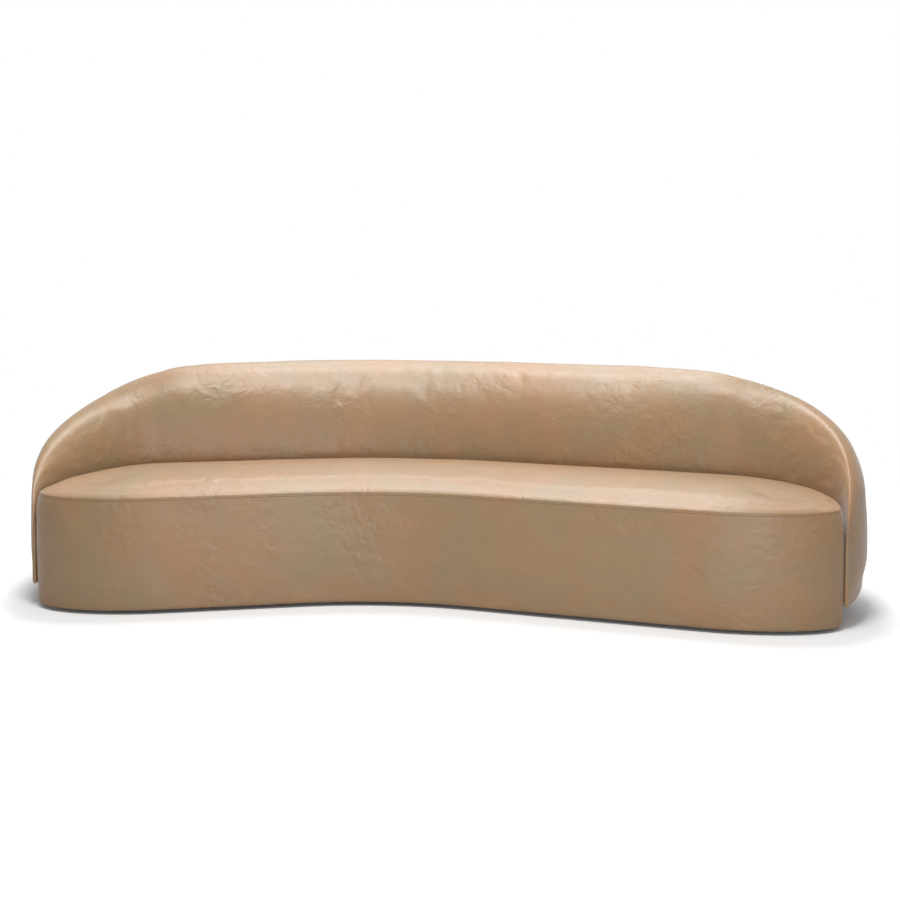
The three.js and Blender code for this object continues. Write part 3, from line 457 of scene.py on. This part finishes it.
def rim_place(end, turn):
    """A place round the rim at one end: its station, its distance from the tip, 0, and its squeeze."""
    past = rim_radius * math.sin(turn) / (half_depth - end["forward"])
    tip = (1 - past ** end["front_power"]) ** (1 / end["front_power"])
    return end_station(end, -1, tip), 0, math.cos(turn)


# Each place along the shell: its station, how far it is from the nearest tip, and its squeeze. Between
# the rims, the places are picked from finely spaced stations, closer together near the ends.
fine_spacing, end_zone, end_spacing, rear_spacing, seam_room = 1.5, 160, 7, 11, 9
rear_side = long_side(1, fine_spacing)
rear_ways = run_lengths(np.array([edge for edge, outward, tip in rear_side]))
rear_length = rear_ways[-1]
wanted = np.concatenate([np.arange(0, end_zone, end_spacing),
                         np.arange(end_zone, rear_length / 2, rear_spacing)])
wanted = np.concatenate([wanted[np.abs(wanted - end_seam) > seam_room], end_seam + seam_steps])
wanted = np.sort(np.concatenate([wanted, rear_length - wanted]))
picked = np.searchsorted(rear_ways, wanted).clip(0, len(rear_side) - 1)
back_places = ([rim_place(left_end, turn) for turn in rim_turns]
               + [(rear_side[i], min(rear_ways[i], rear_length - rear_ways[i]), 1) for i in picked]
               + [rim_place(right_end, turn) for turn in rim_turns[::-1]])
back_stations = [station for station, to_tip, squeeze in back_places]
place_laws = [left_back if i < len(back_places) / 2 else right_back for i in range(len(back_places))]
back_rows = np.array([back_section(to_tip, laws, squeeze)
                      for (station, to_tip, squeeze), laws in zip(back_places, place_laws)])
back_across = drawn_in(back_stations, back_rows[:, :, 0], back_rows[:, :, 1], pull=0)
back_points = lift(back_stations, back_across, back_rows[:, :, 1])


def normals_of(points):
    """Unit normals of the surface through rows of points. On the shell they point in, to the foam."""
    normals = np.cross(np.gradient(points, axis=1), np.gradient(points, axis=0))
    return normals / np.maximum(np.linalg.norm(normals, axis=2, keepdims=True), 1e-9)


# Leather lies unevenly over foam, and stands up a little where its edges are turned in under a seam.
bead_width, bead_height, bead_start, calm_tip, calm_foot = 2.5, 1.6, 5, 60, 60
to_tips = np.array([[to_tip] for station, to_tip, squeeze in back_places])
across_lengths = run_lengths(back_points.transpose(1, 0, 2)).T
from_ridge_seam = np.abs(across_lengths - across_lengths[:, [seam_column]])
ridge_bead = (np.exp(-(from_ridge_seam / bead_width) ** 2)
              * np.clip((to_tips - end_seam) / bead_start, 0, 1))
outside = np.arange(back_points.shape[1]) >= seam_column
end_bead = np.exp(-((to_tips - end_seam) / bead_width) ** 2) * outside
pressed_in = (unevenness(back_points, wave=230, amount=1.8, seed=21)
              + unevenness(back_points, wave=70, amount=0.5, seed=23))
pressed_in *= (np.clip(to_tips / calm_tip, 0, 1)
               * np.clip((back_rows[:, :, 1] - back_bottom) / calm_foot, 0, 1))
pressed_in -= bead_height * np.maximum(ridge_bead, end_bead)
back_points += pressed_in[:, :, None] * normals_of(back_points)

# The inner cover's cells: the inner face and the ridge, and the whole section near the two tips.
seam_slack, held_height = 0.5, seam_height + 25
cell_to_tips = np.minimum(to_tips[1:], to_tips[:-1])
wrapped = np.broadcast_to(cell_to_tips < end_seam - seam_slack,
                          (len(back_places) - 1, back_points.shape[1] - 1))
inner_cells = wrapped | ~outside[None, 1:]
back_inner = skin("back_inner", back_points, kept=inner_cells)
plumped(back_inner, most=3, held_below=held_height)
back_inner.data.materials.append(leather)
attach(back_inner, "root")
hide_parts("back_inner_cover", "back_inner_foam", "back_end_foam_left",
            "back_end_foam_right")

# Back outer cover
# The same leather over thin foam on the shell's outside. It swells out, is drawn in again at the bottom,
# where it is rolled under, and is sewn to the inner cover behind the ridge and behind both ends.
back_outer = skin("back_outer", back_points, kept=~inner_cells)
back_outer.data.materials.append(leather)
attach(back_outer, "root")
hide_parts("back_outer_cover", "back_outer_foam")

# Plywood frame
# The seat's rings, ribs and bent skin, and the back's plate, ribs, middle rail and bent panels are cut from
# sanded birch plywood, glued and stapled.


def finish_nodes(material, *names):
    """Gives carried-over CAD pieces their material."""
    for name in names:
        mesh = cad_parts[name].data
        mesh.materials.clear()
        mesh.materials.append(material)


# Birch plywood: pale veneer with long, faint figure. Level sheets show their plies as lines on the edge.
band_gap = 2 * math.pi / 20  # how far apart a wave texture's bands lie at scale 1
for name, stretch, ply_share, pieces in [
    ("birch_plywood_level", (1, 9, 9), 1,
     ["base_ring", "deck_ring", "back_base_plate", "back_middle_rail"]),
    ("birch_plywood_upright", (9, 9, 1), 0,
     ["seat_skin", "back_inner_panel", "back_outer_panel"]
     + [f"{part}_rib_{i}" for part in ("seat", "back") for i in range(1, 7)]),
]:
    plywood = new_material(name)
    place = add_node(plywood, "TexCoord").outputs["Object"]
    stretched = add_node(plywood, "Mapping", {"Vector": place, "Scale": stretch})
    figure = add_node(plywood, "TexNoise", {
        "Vector": stretched.outputs["Vector"], "Scale": 1000 / 90, "Detail": 6, "Roughness": 0.62,
        "Distortion": 0.5})
    veneer = add_node(plywood, "MixRGB", {
        "Fac": figure.outputs["Fac"], "Color1": linear("D9BF94"), "Color2": linear("B8925F")})
    plies = add_node(plywood, "TexWave", {"Vector": place, "Scale": 1000 * band_gap / 2.8},
                     bands_direction="Z")
    up = add_node(plywood, "SeparateXYZ", {"Vector": add_node(plywood, "NewGeometry").outputs["Normal"]})
    flat = add_node(plywood, "Math", {0: up.outputs["Z"]}, operation="ABSOLUTE")
    on_edge = add_node(plywood, "MapRange", {
        "Value": flat.outputs["Value"], "From Min": 0.3, "From Max": 0.6, "To Min": 0.55 * ply_share,
        "To Max": 0})
    dark_plies = add_node(plywood, "Math", {
        0: plies.outputs["Fac"], 1: on_edge.outputs["Result"]}, operation="MULTIPLY")
    ply_lined = add_node(plywood, "MixRGB", {
        "Fac": dark_plies.outputs["Value"], "Color1": veneer.outputs["Color"], "Color2": linear("8A6237")})
    fibre_bump = add_node(plywood, "Bump", {
        "Height": figure.outputs["Fac"], "Strength": 0.5, "Distance": 0.0003})
    board = add_node(plywood, "BsdfPrincipled", {
        "Base Color": ply_lined.outputs["Color"], "Roughness": 0.62, "IOR": 1.5,
        "Normal": fibre_bump.outputs["Normal"]})
    add_node(plywood, "OutputMaterial", {"Surface": board.outputs["BSDF"]})
    finish_nodes(plywood, *pieces)

# Beech rail and blocks
# The back's top rail and the blocks behind the bolts are planed beech, which holds screws and staples.
# Beech: pinkish brown with short dark flecks along the grain.
beech = new_material("planed_beech")
place = add_node(beech, "TexCoord").outputs["Object"]
along = add_node(beech, "Mapping", {"Vector": place, "Scale": (1, 8, 8)})
grain_lines = add_node(beech, "TexNoise", {
    "Vector": along.outputs["Vector"], "Scale": 1000 / 60, "Detail": 5, "Roughness": 0.6})
wood = add_node(beech, "MixRGB", {
    "Fac": grain_lines.outputs["Fac"], "Color1": linear("C69C6D"), "Color2": linear("96683F")})
fleck_place = add_node(beech, "Mapping", {"Vector": place, "Scale": (1, 4, 4)})
flecks = add_node(beech, "TexVoronoi", {"Vector": fleck_place.outputs["Vector"], "Scale": 1000 / 8})
fleck_share = add_node(beech, "MapRange", {
    "Value": flecks.outputs["Distance"], "From Min": 0.08, "From Max": 0.2, "To Min": 0.45, "To Max": 0})
flecked = add_node(beech, "MixRGB", {
    "Fac": fleck_share.outputs["Result"], "Color1": wood.outputs["Color"], "Color2": linear("6B4526")})
plane_bump = add_node(beech, "Bump", {
    "Height": grain_lines.outputs["Fac"], "Strength": 0.4, "Distance": 0.0003})
rail_wood = add_node(beech, "BsdfPrincipled", {
    "Base Color": flecked.outputs["Color"], "Roughness": 0.5, "IOR": 1.5,
    "Normal": plane_bump.outputs["Normal"]})
add_node(beech, "OutputMaterial", {"Surface": rail_wood.outputs["BSDF"]})
finish_nodes(beech, "back_top_rail", *[f"block_{i}" for i in range(1, 5)])

# Webbing
# Elastic straps, stretched over the deck ring and stapled at both ends, carry the seat's foam.
# Elastic webbing: brown-black yarn woven round rubber, with ribs across and a paler line every few ribs.
# The ribs, about 1.5 mm apart on real webbing, are drawn 3 mm apart, or they would blur away.
elastic = new_material("elastic_webbing")
place = add_node(elastic, "TexCoord").outputs["Object"]
ribs = add_node(elastic, "TexWave", {"Vector": place, "Scale": 1000 * band_gap / 3, "Distortion": 0.3},
                bands_direction="Y")
cords = add_node(elastic, "TexWave", {"Vector": place, "Scale": 1000 * band_gap / 3, "Distortion": 0.3},
                 bands_direction="X")
woven = add_node(elastic, "Math", {0: ribs.outputs["Fac"], 1: cords.outputs["Fac"]}, operation="MULTIPLY")
stripes = add_node(elastic, "TexWave", {"Vector": place, "Scale": 1000 * band_gap / 24},
                   bands_direction="Y")
yarn = add_node(elastic, "MixRGB", {
    "Fac": stripes.outputs["Fac"], "Color1": linear("2E2925"), "Color2": linear("4A423A")})
weave_bump = add_node(elastic, "Bump", {
    "Height": woven.outputs["Value"], "Strength": 0.8, "Distance": 0.0008})
strap = add_node(elastic, "BsdfPrincipled", {
    "Base Color": yarn.outputs["Color"], "Roughness": 0.8, "IOR": 1.5, "Sheen Weight": 0.3,
    "Normal": weave_bump.outputs["Normal"]})
add_node(elastic, "OutputMaterial", {"Surface": strap.outputs["BSDF"]})
finish_nodes(elastic, *[f"webbing_{i}" for i in range(1, 14)])

# Dust cover
# Black non-woven cloth, stapled under the seat's frame, which keeps dust off the webbing.
# Spun-bonded cloth: matted black fibres, pressed together in small dots.
spunbond = new_material("spunbond_cloth")
place = add_node(spunbond, "TexCoord").outputs["Object"]
fibres = add_node(spunbond, "TexNoise", {
    "Vector": place, "Scale": 1000 / 5, "Detail": 6, "Roughness": 0.7, "Distortion": 1.5})
matted = add_node(spunbond, "MixRGB", {
    "Fac": fibres.outputs["Fac"], "Color1": linear("101012"), "Color2": linear("2C2C2F")})
dots = add_node(spunbond, "TexVoronoi", {"Vector": place, "Scale": 1000 / 4, "Randomness": 0})
pressed = add_node(spunbond, "MapRange", {
    "Value": dots.outputs["Distance"], "From Min": 0.15, "From Max": 0.3})
dot_bump = add_node(spunbond, "Bump", {
    "Height": pressed.outputs["Result"], "Strength": 0.6, "Distance": 0.0004})
cloth = add_node(spunbond, "BsdfPrincipled", {
    "Base Color": matted.outputs["Color"], "Roughness": 0.9, "IOR": 1.5,
    "Normal": dot_bump.outputs["Normal"]})
add_node(spunbond, "OutputMaterial", {"Surface": cloth.outputs["BSDF"]})
finish_nodes(spunbond, "dust_cover")

# Glides
# Low moulded feet, screwed through the dust cover into the base ring.
# Moulded nylon: black with a fine spark-eroded grain, rubbed smoother in places by the floor.
nylon = new_material("moulded_nylon")
place = add_node(nylon, "TexCoord").outputs["Object"]
rubbed = add_node(nylon, "TexNoise", {"Vector": place, "Scale": 1000 / 15, "Detail": 3})
rubbed_shine = add_node(nylon, "MapRange", {
    "Value": rubbed.outputs["Fac"], "From Min": 0.35, "From Max": 0.65, "To Min": 0.38, "To Max": 0.6})
sparks = add_node(nylon, "TexNoise", {"Vector": place, "Scale": 1000 / 1.2, "Detail": 2})
spark_bump = add_node(nylon, "Bump", {"Height": sparks.outputs["Fac"], "Strength": 0.4, "Distance": 0.0002})
scuffed = add_node(nylon, "MixRGB", {
    "Fac": rubbed.outputs["Fac"], "Color1": linear("141414"), "Color2": linear("1F1F1F")})
foot_plastic = add_node(nylon, "BsdfPrincipled", {
    "Base Color": scuffed.outputs["Color"], "Roughness": rubbed_shine.outputs["Result"], "IOR": 1.53,
    "Normal": spark_bump.outputs["Normal"]})
add_node(nylon, "OutputMaterial", {"Surface": foot_plastic.outputs["BSDF"]})
finish_nodes(nylon, *[f"glide_{i}" for i in range(1, 7)])

# Bolts
# Four bolts through the back's ribs and the seat's blocks join the two units.
# Zinc plate: bluish grey, with faintly yellow clouds from its passivation and small crystals in the shine.
zinc = new_material("zinc_plated_steel")
place = add_node(zinc, "TexCoord").outputs["Object"]
stained = add_node(zinc, "TexNoise", {"Vector": place, "Scale": 1000 / 12, "Detail": 3})
plated = add_node(zinc, "MixRGB", {
    "Fac": stained.outputs["Fac"], "Color1": linear("B7BCC2"), "Color2": linear("B9B39C")})
crystals = add_node(zinc, "TexVoronoi", {"Vector": place, "Scale": 1000 / 2})
crystal_shine = add_node(zinc, "MapRange", {
    "Value": crystals.outputs["Distance"], "From Min": 0, "From Max": 0.7, "To Min": 0.3, "To Max": 0.42})
bolt_steel = add_node(zinc, "BsdfPrincipled", {
    "Base Color": plated.outputs["Color"], "Metallic": 1, "Roughness": crystal_shine.outputs["Result"]})
add_node(zinc, "OutputMaterial", {"Surface": bolt_steel.outputs["BSDF"]})
finish_nodes(zinc, *[f"bolt_{i}" for i in range(1, 5)])

# Floor and white room
# A white painted studio floor that keeps the sofa's soft shadow, and fades into the white room round it.
# The camera sees the paint glow a little beyond its lit colour, so that it comes up to white. Ambient
# occlusion dims the glow near and under the sofa: painted shade on the floor, on top of the real shadow.
reach, fade_start, fade_end = 30, 2.3, 3.3
floor_mesh = bpy.data.meshes.new("floor")
corners = [(-reach, -reach, 0), (reach, -reach, 0), (reach, reach, 0), (-reach, reach, 0)]
floor_mesh.from_pydata(corners, [], [(0, 1, 2, 3)])
floor = bpy.data.objects.new("floor", floor_mesh)
scene.collection.objects.link(floor)
paint = new_material("white_floor_paint")
seen = add_node(paint, "LightPath")
far = add_node(paint, "VectorMath", {0: add_node(paint, "TexCoord").outputs["Object"]}, operation="LENGTH")
faded = add_node(paint, "MapRange", {
    "Value": far.outputs["Value"], "From Min": fade_start, "From Max": fade_end})
lit_paint = add_node(paint, "BsdfDiffuse", {"Color": linear("CCCCCC")})
# The glow's colour is ambient occlusion: painted shade, darkest in the gap under the sofa.
glow_painted_shade = add_node(paint, "AmbientOcclusion", {"Distance": 0.4})
glow = add_node(paint, "Emission", {"Color": glow_painted_shade.outputs["Color"], "Strength": 0.42})
near_paint = add_node(paint, "AddShader", {0: lit_paint.outputs["BSDF"], 1: glow.outputs["Emission"]})
bounced_paint = add_node(paint, "BsdfDiffuse", {"Color": linear("D8D8D8")})
far_white = add_node(paint, "Emission", {"Color": (1, 1, 1, 1), "Strength": 1})
seen_floor = add_node(paint, "MixShader", {
    0: faded.outputs["Result"], 1: near_paint.outputs["Shader"], 2: far_white.outputs["Emission"]})
mixed = add_node(paint, "MixShader", {
    0: seen.outputs["Is Camera Ray"], 1: bounced_paint.outputs["BSDF"], 2: seen_floor.outputs["Shader"]})
add_node(paint, "OutputMaterial", {"Surface": mixed.outputs["Shader"]})
floor.data.materials.append(paint)

room = bpy.data.worlds.new("white_room")
scene.world = room
room.use_nodes = True
room.node_tree.nodes.clear()
rays = add_node(room, "LightPath")
shining = add_node(room, "Math", {
    0: rays.outputs["Is Glossy Ray"], 1: rays.outputs["Is Transmission Ray"]}, operation="MAXIMUM")
seen_rays = add_node(room, "Math", {
    0: rays.outputs["Is Camera Ray"], 1: shining.outputs["Value"]}, operation="MAXIMUM")
white = add_node(room, "Background", {"Color": (1, 1, 1, 1), "Strength": 1})
fill = add_node(room, "Background", {"Color": (1, 1, 1, 1), "Strength": 0.03})
sky = add_node(room, "MixShader", {
    0: seen_rays.outputs["Value"], 1: fill.outputs["Background"], 2: white.outputs["Background"]})
add_node(room, "OutputWorld", {"Surface": sky.outputs["Shader"]})

# Studio lamps
# Soft boxes six metres off: two overhead, three weaker ones high behind the sofa, which give its ridge and
# seat their sheen, and a low one in front, right of the camera, which brightens two bands of the front.
lamp_aim = Vector((0, -0.1, 0.35))
for name, place, power in [
    ("overhead_front", (0, -1.95, 6.06), 325),
    ("overhead_rear", (0, 1.55, 6.12), 240),
    ("rear_high", (-1.68, 2.81, 5.32), 40),
    ("rear_right", (1.08, 4.23, 4.36), 60),
    ("rear_left", (-1.08, 4.23, 4.36), 42),
    ("front_low", (1.24, -5.95, 0.77), 125),
]:
    lamp_data = bpy.data.lights.new(name, "AREA")
    lamp_data.shape = "RECTANGLE"
    lamp_data.size, lamp_data.size_y = 1.8, 1.6
    lamp_data.energy = power
    lamp = bpy.data.objects.new(name, lamp_data)
    lamp.location = place
    lamp.rotation_mode = "QUATERNION"
    lamp.rotation_quaternion = (lamp_aim - Vector(place)).to_track_quat("-Z", "Y")
    lamp.visible_camera = False
    scene.collection.objects.link(lamp)

scene.view_settings.view_transform = "Standard"
